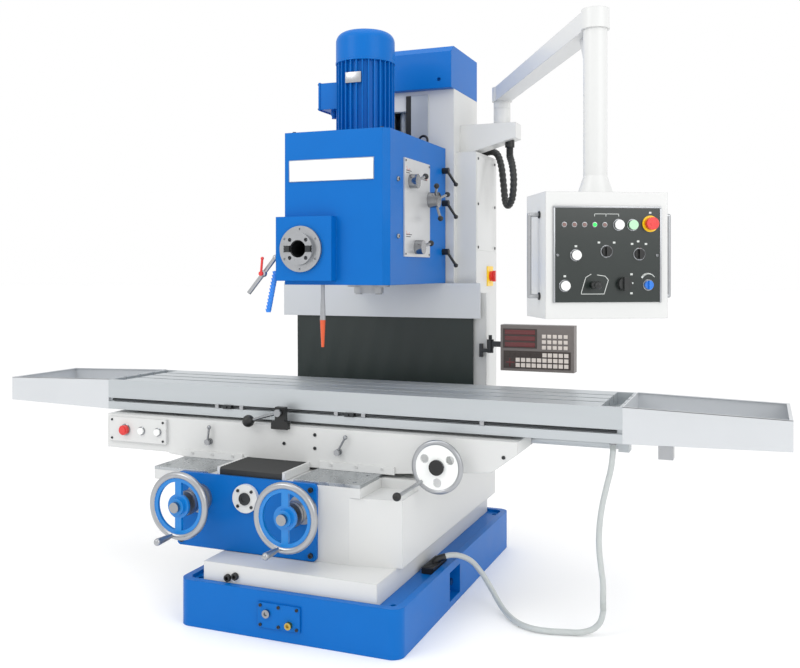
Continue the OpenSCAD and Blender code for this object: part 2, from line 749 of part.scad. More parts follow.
// A clamp lever at the head's rear right edge
module clamp_lever(z) color("black") translate([head_x1 + gap, 352, z]) {
    rightward(14, 30);
    bar([22, 0, 0], [58, 18, -62], 6);
    translate([58, 18, -62]) sphere(10);
}

module clamp_lever_top() clamp_lever(head_z + 513);

module clamp_lever_mid() clamp_lever(head_z + 365);

module clamp_lever_low() clamp_lever(head_z + 143);

// ---------- handwheels ----------

// A dished handwheel with two windows in its web and a handle. The rim's middle is at the origin
module handwheel(stub_l) {
    color("silver") rotate([90, 0, 0]) rotate_extrude($fn = 96)
        translate([wheel_r - rim_d / 2, 0]) circle(rim_d / 2, $fn = 32);
    color("deepskyblue") difference() {
        translate([0, 7, 0]) forward(wheel_r - rim_d + 4, 12);
        for (a = [0, 180])
            rotate([0, a, 0]) intersection() {
                translate([0, 8, 0]) difference() {
                    forward(wheel_r - rim_d - 12, 14);
                    translate([0, 1, 0]) forward(46, 16);
                }
                translate([14, -10, -wheel_r]) cube([wheel_r, 20, 2 * wheel_r]);
            }
    }
    color("white") translate([0, 24, 0]) forward(32, 44);
    color(dark) translate([0, -20, 0]) forward(20, 14);
    color("silver") translate([0, stub_l, 0]) forward(stub_r, stub_l);
    color("silver") translate([-26, 0, -wheel_r + rim_d / 2 + 3]) {
        translate([0, -8, 0]) forward(8, 22);
        translate([0, -28, 0]) rotate([90, 0, 0]) cylinder(r1 = 10, r2 = 14, h = 68);
        translate([0, -96, 0]) sphere(14);
    }
}

module wheel_cross() translate([wheel_x[0], wheel_y, wheel_z]) handwheel(110);

module wheel_lift() translate([wheel_x[1], wheel_y, wheel_z]) handwheel(110);

crank_end = [-94, -170, -80];

module wheel_table() translate([tw_x, tw_y, tw_z]) {
    r = table_wheel_d / 2;
    color("white") rotate([90, 0, 0]) rotate_extrude($fn = 96)
        translate([r - 10, 0]) circle(10, $fn = 32);
    color("white") difference() {
        translate([0, 6, 0]) forward(r - 12, 10);
        for (a = [90, 210, 330])
            rotate([0, a, 0]) translate([58, 7, 0]) forward(17, 14);
    }
    color(dark) translate([0, 36, 0]) forward(29, 52);
    color(steel) translate([0, 96, 0]) forward(stub_r, 96);
    color(steel) bar([-62, -4, -58], crank_end, 7);
    color("black") translate(crank_end) sphere(16);
}

// ---------- switches, readout and pendant ----------

module main_switch() color("red") translate([cabinet_w / 2 + 5 + gap, 646, 1305]) {
    rightward(24, 12);
    translate([12, -8, -26]) cube([14, 16, 52]);
    translate([-5, 0, 0]) rightward(8, 7);
}

dro_w = 322;
dro_h = 200;
dro_t = 60;

module dro() {
    color("gray") translate([dro_x + 78, dro_y - 110, 895]) cube([dro_w, dro_t, dro_h]);
    color("black") translate([dro_x + 90, dro_y - 112, 995]) cube([150, 2, 84]);
    color("black") translate([dro_x + 92, dro_y - 112, 907]) cube([dro_w - 28, 2, 76]);
    color("white") for (i = [0:11])
        for (k = [0:2])
            translate([dro_x + 100 + 23.5 * i, dro_y - 114, 913 + 23 * k]) cube([18, 2, 17]);
    color(dark) translate([0, 0, 980 + gap]) difference() {
        union() {
            translate([dro_x, dro_y, 0]) cylinder(r = 16, h = 40);
            translate([dro_x, dro_y - 12, 8]) cube([230, 24, 24]);
            translate([dro_x + 206, dro_y - 50, 8]) cube([24, 62, 24]);
        }
        translate([dro_x, dro_y, -1]) cylinder(r = 8 + shaft_gap, h = 42);
    }
}

module pendant_arm() color(white) {
    difference() {
        union() {
            translate([post_x, post_y, post_z - 30 + gap]) cylinder(d = tube_d, h = 75);
            translate([post_x, post_y, post_z]) rotate([0, 0, arm_angle])
                translate([0, -37, 4]) difference() {
                    cube([arm_l, 74, 66]);
                    translate([50, sheet_t, sheet_t])
                        cube([arm_l - 100, 74 - 2 * sheet_t, 66 - 2 * sheet_t]);
                }
            translate([post_x, post_y, post_z + 4]) cylinder(r = 46, h = 66);
            translate([drop_x, drop_y, post_z + 4]) cylinder(r = 46, h = 66);
        }
        translate([post_x, post_y, post_z - 40]) cylinder(r = 22 + shaft_gap, h = 94);
    }
    translate([drop_x, drop_y, pendant_z + pendant_h + 60]) difference() {
        cylinder(d = tube_d, h = post_z + 10 - pendant_z - pendant_h - 60);
        translate([0, 0, 20])
            cylinder(d = tube_d - 2 * sheet_t, h = post_z - pendant_z - pendant_h - 90);
    }
    translate([drop_x, drop_y, pendant_z + pendant_h + gap])
        cylinder(r1 = tube_d / 2 + 20, r2 = tube_d / 2, h = 60 - gap);
    translate([drop_x, drop_y, pendant_z + pendant_h - 40]) cylinder(r = 22, h = 60);
    translate([post_x, post_y, post_z + 4]) rotate([0, 0, arm_angle])
        translate([arm_l - 30, 6, 0]) rotate([90, 0, 0]) linear_extrude(12)
            polygon([[0, 0], [-110, 0], [-110, -8], [-6, -190], [0, -190]]);
}

// Places its children in the pendant's own frame: X right, Y to its back, Z up from its base
module at_pendant() translate([drop_x, drop_y, pendant_z]) rotate([0, 0, pendant_turn])
    children();

module pendant() at_pendant() {
    color(white) difference() {
        translate([-pendant_w / 2, face_y, 0]) cube([pendant_w, pendant_d, pendant_h]);
        difference() {
            translate([-pendant_w / 2 + sheet_t, face_y + sheet_t, sheet_t])
                cube([pendant_w, pendant_d, pendant_h] - 2 * sheet_t * [1, 1, 1]);
            translate([0, 0, pendant_h - 60]) cylinder(r = 40, h = 80);
        }
        translate([0, 0, pendant_h - 44]) cylinder(r = 22 + shaft_gap, h = 60);
        for (p = shank_places)
            translate([p[0], face_y - 1, p[1]]) rotate([-90, 0, 0])
                cylinder(r = 6 + shaft_gap, h = 30);
    }
    color("black") translate([-panel_w / 2, face_y - 4, 52]) difference() {
        cube([panel_w, 4, panel_h]);
        for (p = shank_places)
            translate([p[0] + panel_w / 2, -1, p[1] - 52]) rotate([-90, 0, 0])
                cylinder(r = 6 + shaft_gap, h = 6);
    }
    color("lime") for (i = [0:4])
        translate([-142 + 33 * i, face_y - 4, 296]) forward(6, 4);
    color("yellow") translate([control_places[2][0], face_y - 4, control_places[2][1]])
        difference() {
            forward(26, 2);
            translate([0, 1, 0]) forward(6 + shaft_gap, 4);
        }
    // Tubular handles
    color("white") for (x = [-1, 1]) {
        bar([x * pendant_w / 2, -40, 70], [x * (pendant_w / 2 + 34), -40, 70], 7);
        bar([x * pendant_w / 2, -40, 330], [x * (pendant_w / 2 + 34), -40, 330], 7);
        bar([x * (pendant_w / 2 + 34), -40, 70], [x * (pendant_w / 2 + 34), -40, 330], 7);
        for (z = [70, 330])
            translate([x * (pendant_w / 2 + 34), -40, z]) sphere(7);
    }
}

// X and Z of each control on the pendant's face
control_places = [[36, 296], [82, 296], [140, 300], [-104, 200], [-4, 212], [104, 204],
    [-140, 104], [-48, 106], [52, 110], [134, 106]];
// All but the joystick have a shank that runs in the panel
shank_places = [for (i = [0:9]) if (i != 7) control_places[i]];
press = 4;

// A pendant button: a cap of radius r and length l
module pendant_button(i, r, l) at_pendant()
    translate([control_places[i][0], face_y - 6, control_places[i][1]])
        front_button(r, l, 6, 12, press);

module white_button_top() color("white") pendant_button(0, button_d / 2, 6);

module green_button() color("palegreen") pendant_button(1, button_d / 2, 6);

module pendant_stop() color("red") pendant_button(2, 20, 18);

module white_button_mid() color("white") pendant_button(3, button_d / 2, 6);

module white_button_low() color("white") pendant_button(6, button_d / 2, 6);

// A turning control: round base and a grip
module pendant_knob(i, r, l, grip_w) at_pendant()
    translate([control_places[i][0], face_y - 4 - gap, control_places[i][1]]) {
        forward(r, l);
        translate([-grip_w / 2, -l - 8, -r]) cube([grip_w, 9, 2 * r]);
        translate([0, 16, 0]) forward(6, 17);
    }

module selector_left() color("black") pendant_knob(4, 16, 8, 9);

module selector_right() color("black") pendant_knob(5, 16, 8, 9);

module dark_knob() color("black") pendant_knob(8, 21, 18, 14);

module blue_knob() color("dodgerblue") pendant_knob(9, 14, 10, 7);

// The joystick turns on the round boot at its foot
boot_r = 12;

module joystick() color("black") at_pendant()
    translate([control_places[7][0], face_y - 4 - boot_r - gap, control_places[7][1]]) {
        sphere(boot_r);
        forward(5, 32);
        translate([0, -34, 0]) sphere(13);
    }

plinth();
plinth_covers();
bed();
bed_ways();
gear_panel();
feed_barrels();
lead_screws();
column();
column_cap();
column_ways();
column_fittings();
arm_conduit();
way_bellows();
apron();
hose_lower();
saddle();
saddle_fittings();
table();
tray_left();
tray_right();
table_fittings();
hose_upper();
head();
head_plates();
motor();
coolant_line();
spindle_rings();
vertical_spindle();
horizontal_spindle();
wheel_cross();
wheel_lift();
wheel_table();
feed_lever();
lock_lever_left();
lock_lever_right();
speed_lever();
range_lever();
quill_lever();
clamp_lever_top();
clamp_lever_mid();
clamp_lever_low();
valve_handle();
main_switch();
pendant_arm();
pendant();
dro();
saddle_stop();
saddle_start();
saddle_jog();
white_button_top();
green_button();
pendant_stop();
white_button_mid();
selector_left();
selector_right();
white_button_low();
joystick();
dark_knob();
blue_knob();
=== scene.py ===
import json
import math
import bpy
import bmesh
from mathutils import Matrix, Vector


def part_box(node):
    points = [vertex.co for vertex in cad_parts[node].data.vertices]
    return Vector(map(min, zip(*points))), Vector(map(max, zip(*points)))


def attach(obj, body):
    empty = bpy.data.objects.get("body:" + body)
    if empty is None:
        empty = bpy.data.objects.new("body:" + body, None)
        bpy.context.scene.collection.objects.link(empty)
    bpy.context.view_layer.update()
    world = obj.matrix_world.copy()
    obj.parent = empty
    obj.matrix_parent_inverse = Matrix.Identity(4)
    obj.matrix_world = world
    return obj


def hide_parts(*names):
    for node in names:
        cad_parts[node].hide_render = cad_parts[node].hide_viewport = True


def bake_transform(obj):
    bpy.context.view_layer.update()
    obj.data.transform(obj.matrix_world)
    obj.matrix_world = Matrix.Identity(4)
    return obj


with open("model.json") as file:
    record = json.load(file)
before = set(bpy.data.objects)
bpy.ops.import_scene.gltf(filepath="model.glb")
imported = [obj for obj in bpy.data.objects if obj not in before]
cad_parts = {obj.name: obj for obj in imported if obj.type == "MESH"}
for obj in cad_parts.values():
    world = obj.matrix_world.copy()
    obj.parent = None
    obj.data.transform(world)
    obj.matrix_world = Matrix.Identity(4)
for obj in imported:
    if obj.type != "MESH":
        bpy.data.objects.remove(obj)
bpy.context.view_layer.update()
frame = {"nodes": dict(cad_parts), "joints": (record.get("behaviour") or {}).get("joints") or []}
nodes = frame["nodes"]

# ---------- camera ----------

camera = bpy.data.objects.new("camera", bpy.data.cameras.new("camera"))
bpy.context.scene.collection.objects.link(camera)
camera.location = (1.5958, -3.5866, 1.332)
camera.rotation_euler = (math.radians(90), 0, math.radians(21.75))
camera.data.sensor_width = 36
camera.data.lens = 40.95
camera.data.shift_y = -0.0794
bpy.context.scene.camera = camera
bpy.context.scene.view_settings.view_transform = "Standard"


# ---------- mesh helpers ----------

def piece(name, mesh_or_bm, body, material, smooth=True):
    """Makes an object that rides on a body."""
    if isinstance(mesh_or_bm, bmesh.types.BMesh):
        mesh = bpy.data.meshes.new(name)
        bmesh.ops.recalc_face_normals(mesh_or_bm, faces=mesh_or_bm.faces)
        mesh_or_bm.to_mesh(mesh)
        mesh_or_bm.free()
    else:
        mesh = mesh_or_bm
    mesh.materials.clear()
    mesh.materials.append(material)
    if smooth:
        mesh.shade_smooth()
    obj = bpy.data.objects.new(name, mesh)
    bpy.context.scene.collection.objects.link(obj)
    if smooth:
        bpy.context.view_layer.objects.active = obj
        with bpy.context.temp_override(active_object=obj, object=obj, selected_editable_objects=[obj]):
            bpy.ops.object.shade_smooth_by_angle(angle=math.radians(35))
    if body:
        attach(obj, body)
    return obj


def turn(axis):
    """Turns +Z to an axis."""
    return Vector(axis).normalized().to_track_quat("Z", "Y").to_matrix().to_4x4()


def lathe(bm, at, axis, profile, n=32):
    """Adds a surface turned round an axis from a profile of (radius, height) pairs."""
    m = Matrix.Translation(at) @ turn(axis)
    rings = []
    for r, h in profile:
        if r < 1e-6:
            rings.append([bm.verts.new(m @ Vector((0, 0, h)))])
        else:
            rings.append([bm.verts.new(m @ Vector((r * math.cos(2 * math.pi * k / n),
                                                   r * math.sin(2 * math.pi * k / n), h)))
                          for k in range(n)])
    for a, b in zip(rings, rings[1:]):
        for k in range(n):
            p, q = a[k % len(a)], a[(k + 1) % len(a)]
            s, t = b[(k + 1) % len(b)], b[k % len(b)]
            face = [v for i, v in enumerate((p, q, s, t)) if v not in (p, q, s, t)[:i]]
            if len(face) > 2:
                bm.faces.new(face)


def block(bm, low, high, bevel=0.0, m=None):
    """Adds a box between two corners, its edges rounded by bevel."""
    made = bmesh.ops.create_cube(bm, size=1)["verts"]
    size = Vector(high) - Vector(low)
    for v in made:
        v.co = Vector(low) + Vector((v.co[k] + 0.5) * size[k] for k in range(3))
    if bevel:
        edges = list(dict.fromkeys(e for v in made for e in v.link_edges))
        made = bmesh.ops.bevel(bm, geom=edges, offset=bevel, segments=2, affect="EDGES", profile=0.5)["verts"]
    if m is not None:
        for v in set(made):
            v.co = m @ v.co


def tube(bm, route, radius, n=16, caps=True):
    """Adds a round tube along a route. radius is a number or a function of the route's index."""
    pts = [Vector(p) for p in route]
    side = None
    rings = []
    for i, p in enumerate(pts):
        d = (pts[min(i + 1, len(pts) - 1)] - pts[max(i - 1, 0)]).normalized()
        if side is None:
            side = d.cross(Vector((0, 1, 0) if abs(d.y) < 0.9 else (1, 0, 0)))
        side = (side - d * side.dot(d)).normalized()
        up = d.cross(side)
        r = radius(i) if callable(radius) else radius
        rings.append([bm.verts.new(p + r * (math.cos(2 * math.pi * k / n) * side
                                            + math.sin(2 * math.pi * k / n) * up)) for k in range(n)])
    for a, b in zip(rings, rings[1:]):
        for k in range(n):
            bm.faces.new((a[k], a[(k + 1) % n], b[(k + 1) % n], b[k]))
    if caps:
        bm.faces.new(list(reversed(rings[0])))
        bm.faces.new(rings[-1])


def smooth_route(points, m):
    """A smooth curve through points, m steps to each span."""
    out = []
    for i in range(len(points) - 1):
        a, b = Vector(points[max(i - 1, 0)]), Vector(points[i])
        c, d = Vector(points[i + 1]), Vector(points[min(i + 2, len(points) - 1)])
        for k in range(m):
            t = k / m
            out.append(0.5 * (2 * b + (c - a) * t + (2 * a - 5 * b + 4 * c - d) * t * t
                              + (3 * b - a - 3 * c + d) * t ** 3))
    return out + [Vector(points[-1])]


# ---------- materials ----------

def srgb(r, g, b):
    """A colour from 0 to 255 as the linear one that the shader takes."""
    return tuple(c / 255 / 12.92 if c <= 10 else ((c / 255 + 0.055) / 1.055) ** 2.4
                 for c in (r, g, b)) + (1,)


def finish_of(name, color, rough, metal=0.0, coat=0.0, var=0.05, grain=40, bump=0.1, bump_grain=300,
              stretch=(1, 1, 1), edge=0.0, lamp=0.0, clear=0.0, aniso=0.0, spec=0.5):
    """A procedural material: mottled colour and roughness, a fine relief, and edges that look rounded."""
    mat = bpy.data.materials.new(name)
    mat.use_nodes = True
    t = mat.node_tree
    t.nodes.clear()
    out = t.nodes.new("ShaderNodeOutputMaterial")
    b = t.nodes.new("ShaderNodeBsdfPrincipled")
    t.links.new(b.outputs[0], out.inputs[0])
    place = t.nodes.new("ShaderNodeTexCoord")
    mapping = t.nodes.new("ShaderNodeMapping")
    mapping.inputs["Scale"].default_value = stretch
    t.links.new(place.outputs["Object"], mapping.inputs[0])
    big = t.nodes.new("ShaderNodeTexNoise")
    big.inputs["Scale"].default_value = grain
    big.inputs["Detail"].default_value = 6
    t.links.new(mapping.outputs[0], big.inputs["Vector"])
    mix = t.nodes.new("ShaderNodeMix")
    mix.data_type = "RGBA"
    mix.inputs[6].default_value = tuple(c * (1 - var) for c in color[:3]) + (1,)
    mix.inputs[7].default_value = tuple(min(1, c * (1 + var)) for c in color[:3]) + (1,)
    t.links.new(big.outputs["Fac"], mix.inputs[0])
    t.links.new(mix.outputs[2], b.inputs["Base Color"])
    span = t.nodes.new("ShaderNodeMapRange")
    span.inputs["To Min"].default_value = max(0.02, rough - 0.06)
    span.inputs["To Max"].default_value = min(1, rough + 0.06)
    t.links.new(big.outputs["Fac"], span.inputs["Value"])
    t.links.new(span.outputs[0], b.inputs["Roughness"])
    b.inputs["Metallic"].default_value = metal
    b.inputs["Coat Weight"].default_value = coat
    b.inputs["Coat Roughness"].default_value = 0.12
    b.inputs["Anisotropic"].default_value = aniso
    b.inputs["Specular IOR Level"].default_value = spec
    if clear:
        b.inputs["Transmission Weight"].default_value = clear
    fine = t.nodes.new("ShaderNodeTexNoise")
    fine.inputs["Scale"].default_value = bump_grain
    fine.inputs["Detail"].default_value = 4
    t.links.new(mapping.outputs[0], fine.inputs["Vector"])
    relief = t.nodes.new("ShaderNodeBump")
    relief.inputs["Strength"].default_value = bump
    relief.inputs["Distance"].default_value = 0.001
    t.links.new(fine.outputs["Fac"], relief.inputs["Height"])
    if edge:
        rounded = t.nodes.new("ShaderNodeBevel")
        rounded.samples = 4
        rounded.inputs["Radius"].default_value = edge
        t.links.new(rounded.outputs[0], relief.inputs["Normal"])
    t.links.new(relief.outputs[0], b.inputs["Normal"])
    if lamp:
        b.inputs["Emission Color"].default_value = color
        b.inputs["Emission Strength"].default_value = lamp
    return mat


BLUE = finish_of("gloss_blue", srgb(0, 102, 184), 0.38, coat=0.05, var=0.05, grain=7, bump=0.10,
                 bump_grain=160, edge=0.004, spec=0.15)
WEB = finish_of("bright_blue", srgb(0, 122, 200), 0.3, coat=0.2, var=0.06, grain=18, bump=0.08,
                bump_grain=220, edge=0.002)
WHITE = finish_of("machine_white", srgb(212, 213, 212), 0.36, coat=0.15, var=0.018, grain=5, bump=0.07,
                  bump_grain=160, edge=0.003)
CAST = finish_of("cast_white", srgb(210, 211, 210), 0.42, coat=0.1, var=0.022, grain=4, bump=0.16,
                 bump_grain=90, edge=0.005)
STEEL = finish_of("ground_steel", srgb(188, 193, 196), 0.42, metal=0.6, var=0.07, grain=14, bump=0.05,
                  bump_grain=160, stretch=(0.05, 1, 1), edge=0.0015, aniso=0.4)
STEEL_Y = finish_of("scraped_ways", srgb(176, 180, 183), 0.28, metal=1.0, var=0.14, grain=60, bump=0.16,
                    bump_grain=120, stretch=(1, 0.15, 1), edge=0.0015)
TRAY = finish_of("tray_sheet", srgb(204, 207, 210), 0.34, metal=0.3, var=0.03, grain=6, bump=0.07,
                 bump_grain=60, edge=0.002)
CHROME = finish_of("chrome", srgb(150, 152, 155), 0.14, metal=1.0, var=0.04, grain=30, bump=0.03,
                   bump_grain=200)
SATIN = finish_of("satin_metal", srgb(168, 170, 173), 0.3, metal=0.9, var=0.06, grain=60, bump=0.06,
                  bump_grain=500, edge=0.001)
DARK = finish_of("dark_steel", srgb(62, 64, 66), 0.36, metal=0.8, var=0.12, grain=60, bump=0.12,
                 bump_grain=500)
RUBBER = finish_of("black_rubber", srgb(34, 36, 36), 0.42, var=0.18, grain=30, bump=0.2, bump_grain=700)
APRON = finish_of("apron_rubber", srgb(31, 42, 40), 0.4, var=0.14, grain=9, bump=0.12, bump_grain=60,
                  stretch=(1, 1, 0.3))
BLACK = finish_of("black_plastic", srgb(22, 23, 23), 0.4, var=0.12, grain=60, bump=0.12, bump_grain=900)
PANEL = finish_of("panel_black", srgb(20, 31, 28), 0.3, coat=0.3, var=0.15, grain=6, bump=0.05,
                  bump_grain=500)
HOSE = finish_of("hose_plastic", srgb(196, 201, 200), 0.35, var=0.06, grain=50, bump=0.15, bump_grain=300,
                 clear=0.12)
WHITE_P = finish_of("white_plastic", srgb(238, 240, 238), 0.25, coat=0.3, var=0.02, grain=80, bump=0.03,
                    bump_grain=500)
RED_P = finish_of("red_plastic", srgb(214, 40, 38), 0.28, coat=0.4, var=0.06, grain=60, bump=0.03,
                  bump_grain=500)
YELLOW_P = finish_of("yellow_plastic", srgb(246, 205, 20), 0.35, coat=0.2, var=0.04, grain=60, bump=0.04,
                     bump_grain=500)
GREEN_P = finish_of("green_plastic", srgb(176, 222, 184), 0.28, coat=0.3, var=0.04, grain=60, bump=0.03,
                    bump_grain=500)
BLUE_P = finish_of("blue_plastic", srgb(30, 118, 214), 0.28, coat=0.4, var=0.06, grain=60, bump=0.03,
                   bump_grain=500)
ORANGE_P = finish_of("orange_plastic", srgb(226, 92, 48), 0.35, var=0.06, grain=60, bump=0.05,
                     bump_grain=500)
COOLANT = finish_of("coolant_blue", srgb(28, 128, 226), 0.35, coat=0.2, var=0.08, grain=80, bump=0.06,
                    bump_grain=500)
DRO_BODY = finish_of("readout_body", srgb(112, 106, 103), 0.42, var=0.05, grain=60, bump=0.1, bump_grain=800,
                     edge=0.002)
DRO_FACE = finish_of("readout_face", srgb(52, 42, 38), 0.35, coat=0.1, var=0.08, grain=30, bump=0.03,
                     bump_grain=700)
KEYS = finish_of("readout_keys", srgb(214, 205, 197), 0.4, var=0.03, grain=90, bump=0.04, bump_grain=700)
GREY_LIGHT = finish_of("side_plate", srgb(206, 207, 208), 0.32, metal=0.5, var=0.05, grain=30, bump=0.06,
                       bump_grain=300, stretch=(1, 1, 0.2))
BRONZE = finish_of("bronze", srgb(170, 128, 70), 0.35, metal=1.0, var=0.1, grain=60, bump=0.1,
                   bump_grain=500)
BRASS = finish_of("brass", srgb(190, 165, 90), 0.3, metal=1.0, var=0.08, grain=60, bump=0.05,
                  bump_grain=500)
LAMP_GREEN = finish_of("lamp_green", srgb(30, 215, 80), 0.2, var=0.02, bump=0.01, lamp=1.0)
LAMP_DIM = finish_of("lamp_dim", srgb(120, 88, 82), 0.25, coat=0.4, var=0.05, bump=0.02)
LED_RED = finish_of("display_red", srgb(96, 22, 26), 0.25, coat=0.4, var=0.1, grain=90, bump=0.02)
INK = finish_of("legend_white", srgb(205, 209, 206), 0.5, var=0.05, grain=90, bump=0.02)
INK_DARK = finish_of("legend_dark", srgb(60, 58, 60), 0.5, var=0.08, grain=90, bump=0.02)
INK_PINK = finish_of("legend_pink", srgb(214, 160, 158), 0.5, var=0.06, grain=90, bump=0.02)


def paint(node, base, *zones):
    """Gives a CAD node a material, and others to the faces whose middle passes a test."""
    mesh = nodes[node].data
    mesh.materials.clear()
    for m in (base, *[z[1] for z in zones]):
        mesh.materials.append(m)
    index = []
    for p in mesh.polygons:
        c = p.center
        index.append(next((i + 1 for i, (test, _) in enumerate(zones) if test(c)), 0))
    mesh.polygons.foreach_set("material_index", index)
    mesh.update()


# ---------- cords ----------

HOSE_R = 0.011
OUTLET_X, OUTLET_Y = 1.090, -0.235
hose_a = [(OUTLET_X, OUTLET_Y, 0.705), (OUTLET_X, OUTLET_Y, 0.690), (OUTLET_X, OUTLET_Y, 0.672),
          (1.083, -0.235, 0.612),
          (1.066, -0.235, 0.540), (1.051, -0.235, 0.470), (1.042, -0.235, 0.400), (1.040, -0.235, 0.330),
          (1.046, -0.235, 0.260), (1.054, -0.236, 0.200), (1.055, -0.236, 0.160), (1.055, -0.236, 0.140),
          (1.055, -0.236, 0.120)]
hose_b = [(1.055, -0.236, 0.120), (1.055, -0.236, 0.104), (1.055, -0.236, 0.088), (1.045, -0.240, 0.052),
          (1.018, -0.250, 0.025), (0.975, -0.264, 0.013), (0.930, -0.275, 0.012), (0.870, -0.290, 0.012),
          (0.810, -0.290, 0.012), (0.750, -0.262, 0.012), (0.690, -0.200, 0.014), (0.640, -0.140, 0.030),
          (0.600, -0.110, 0.070), (0.560, -0.104, 0.124), (0.520, -0.114, 0.172), (0.480, -0.140, 0.198),
          (0.445, -0.170, 0.206), (0.414, -0.196, 0.199)]


def hose(name, points, node):
    """A drain hose with a wire helix that shows as fine rings."""
    route = smooth_route(points, 24)
    bm = bmesh.new()
    tube(bm, route, lambda i: HOSE_R - (0.0006 if i % 2 else 0.0), n=20)
    obj = piece(name, bm, None, HOSE)
    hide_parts(node)
    return obj


upper = hose("drain_hose_upper", hose_a, "hose_upper")
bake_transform(upper)
lower = hose("drain_hose_lower", hose_b, "hose_lower")
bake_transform(lower)

# ---------- CAD nodes: finishes ----------

for material, names in (
        (BLUE, ("plinth", "column_cap", "head", "motor")),
        (CAST, ("bed", "column", "saddle")),
        (STEEL, ("lead_screws", "table")),
        (STEEL_Y, ("bed_ways",)),
        (TRAY, ("tray_left", "tray_right")),
        (WHITE, ("pendant_arm",)),
        (SATIN, ("spindle_rings", "vertical_spindle", "feed_barrels")),
        (CHROME, ("lock_lever_left", "lock_lever_right")),
        (BLACK, ("clamp_lever_top", "clamp_lever_mid", "clamp_lever_low", "selector_left", "selector_right")),
        (RUBBER, ("arm_conduit", "way_bellows", "joystick", "dark_knob")),
        (APRON, ("apron",)),
        (HOSE, ("hose_upper", "hose_lower")),
        (RED_P, ("valve_handle", "main_switch", "saddle_stop", "pendant_stop")),
        (WHITE_P, ("saddle_start", "saddle_jog", "white_button_top", "white_button_mid",
                   "white_button_low")),
        (GREEN_P, ("green_button",)),
        (BLUE_P, ("blue_knob",))):
    for n in names:
        paint(n, material)

# ---------- CAD nodes that hold more than one finish ----------

nose_low, nose_high = (Vector(p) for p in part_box("horizontal_spindle"))
nose = (nose_low + nose_high) / 2
paint("horizontal_spindle", SATIN,
      (lambda c: c.y < nose_low.y + 0.012 and 0.030 < abs(c.x - nose.x) < 0.062 and abs(c.z - nose.z) < 0.014,
       DARK),
      (lambda c: math.hypot(c.x - nose.x, c.z - nose.z) < 0.034, DARK))
FLANGE_X, FLANGE_Z = -0.254, 0.454
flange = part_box("gear_panel")[0][1]
paint("gear_panel", BLUE,
      (lambda c: c.y < flange + 0.0048 and math.hypot(c.x - FLANGE_X, c.z - FLANGE_Z) < 0.055, DARK),
      (lambda c: c.y < flange + 0.0208 and math.hypot(c.x - FLANGE_X, c.z - FLANGE_Z) < 0.0555, WHITE),
      (lambda c: c.y < flange + 0.0208 and min(abs(c.x + 0.551), abs(c.x - 0.023)) < 0.0101, DARK))
paint("column_ways", STEEL, (lambda c: 0.037 < c.x < 0.0641 or -0.0641 < c.x < -0.037, BLACK))
paint("head_plates", WHITE_P, (lambda c: c.x > 0.2335 and c.y < 0.2, GREY_LIGHT), (lambda c: c.y > 0.3, TRAY))
paint("column_fittings", WHITE,
      (lambda c: abs(c.x - 0.3735) < 0.003 and 1.25 < c.z < 1.36, YELLOW_P),
      (lambda c: 1.90 < c.z < 1.9465 and (c.y > 0.69 or (0.475 < c.x < 0.525 and 0.515 < c.y < 0.565)),
       BLACK),
      (lambda c: c.z < 1.05 and c.x > 0.38, DARK))
paint("plinth_covers", BLUE,
      (lambda c: c.z > 0.155, BLACK),
      (lambda c: c.x > 0.3, CHROME),
      (lambda c: c.y < -0.7203 and abs(c.x + 0.065) < 0.016 and c.z > 0.08, CHROME),
      (lambda c: c.y < -0.7203 and abs(c.x - 0.027) < 0.014 and c.z < 0.082, BRASS),
      (lambda c: c.y < -0.7203, DARK))
paint("saddle_fittings", CAST,
      (lambda c: c.z < 0.53, BRONZE),
      (lambda c: -0.263 < c.x < -0.187 and c.z > 0.686 and c.y < -0.31, BLACK),
      (lambda c: c.z < 0.5775 and c.y < -0.31, WHITE),
      (lambda c: abs(c.z - 0.612) < 0.0145 and c.y < -0.31
       and (abs(c.x + 0.570) < 0.015 or abs(c.x - 0.032) < 0.015), CHROME))
paint("table_fittings", DARK,
      (lambda c: c.x > 1.2 or (abs(c.x - OUTLET_X) < 0.02 and c.z > 0.7), SATIN),
      (lambda c: c.z < 0.705 and abs(c.x) < 1.2, STEEL))
paint("coolant_line", SATIN,
      (lambda c: c.x < -0.236 and c.y > -0.3215 and c.z < 1.34, COOLANT),
      (lambda c: c.x > -0.12 and c.z < 1.1265, ORANGE_P))
for n in ("wheel_cross", "wheel_lift"):
    wheel_low, wheel_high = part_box(n)
    hub = Vector(((wheel_low[0] + wheel_high[0]) / 2, 0, wheel_high[2] - 0.130))
    paint(n, SATIN,
          (lambda c, h=hub: math.hypot(c.x - h.x, c.z - h.z) < 0.021 and c.y < -0.7045, CHROME),
          (lambda c, h=hub: c.y > -0.677 and math.hypot(c.x - h.x, c.z - h.z) < 0.0325, SATIN),
          (lambda c, h=hub: math.hypot(c.x - h.x, c.z - h.z) < 0.1065 and -0.7058 < c.y < -0.6765, WEB))
hub = Vector((0.470, 0, 0.600))
paint("wheel_table", SATIN,
      (lambda c: (c - Vector((0.376, -0.560, 0.520))).length < 0.0165, BLACK),
      (lambda c: math.hypot(c.x - hub.x, c.z - hub.z) < 0.0295 and c.y < -0.399, BLACK),
      (lambda c: math.hypot(c.x - hub.x, c.z - hub.z) < 0.0885 and c.y > -0.3965, WHITE_P))
paint("feed_lever", CHROME, (lambda c: (c - Vector((-0.361, -0.3573, 0.716))).length < 0.0255, BLACK))
for n in ("speed_lever", "quill_lever"):
    grip_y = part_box(n)[1][1] - 0.013
    paint(n, CHROME, (lambda c, y=grip_y: abs(c.y - y) < 0.0132, BLACK))
RANGE_Y, RANGE_Z = 0.158, 1.640
paint("range_lever", CHROME, (lambda c: math.hypot(c.y - RANGE_Y, c.z - RANGE_Z) > 0.0725, BLACK))
dro_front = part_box("dro")[0][1]
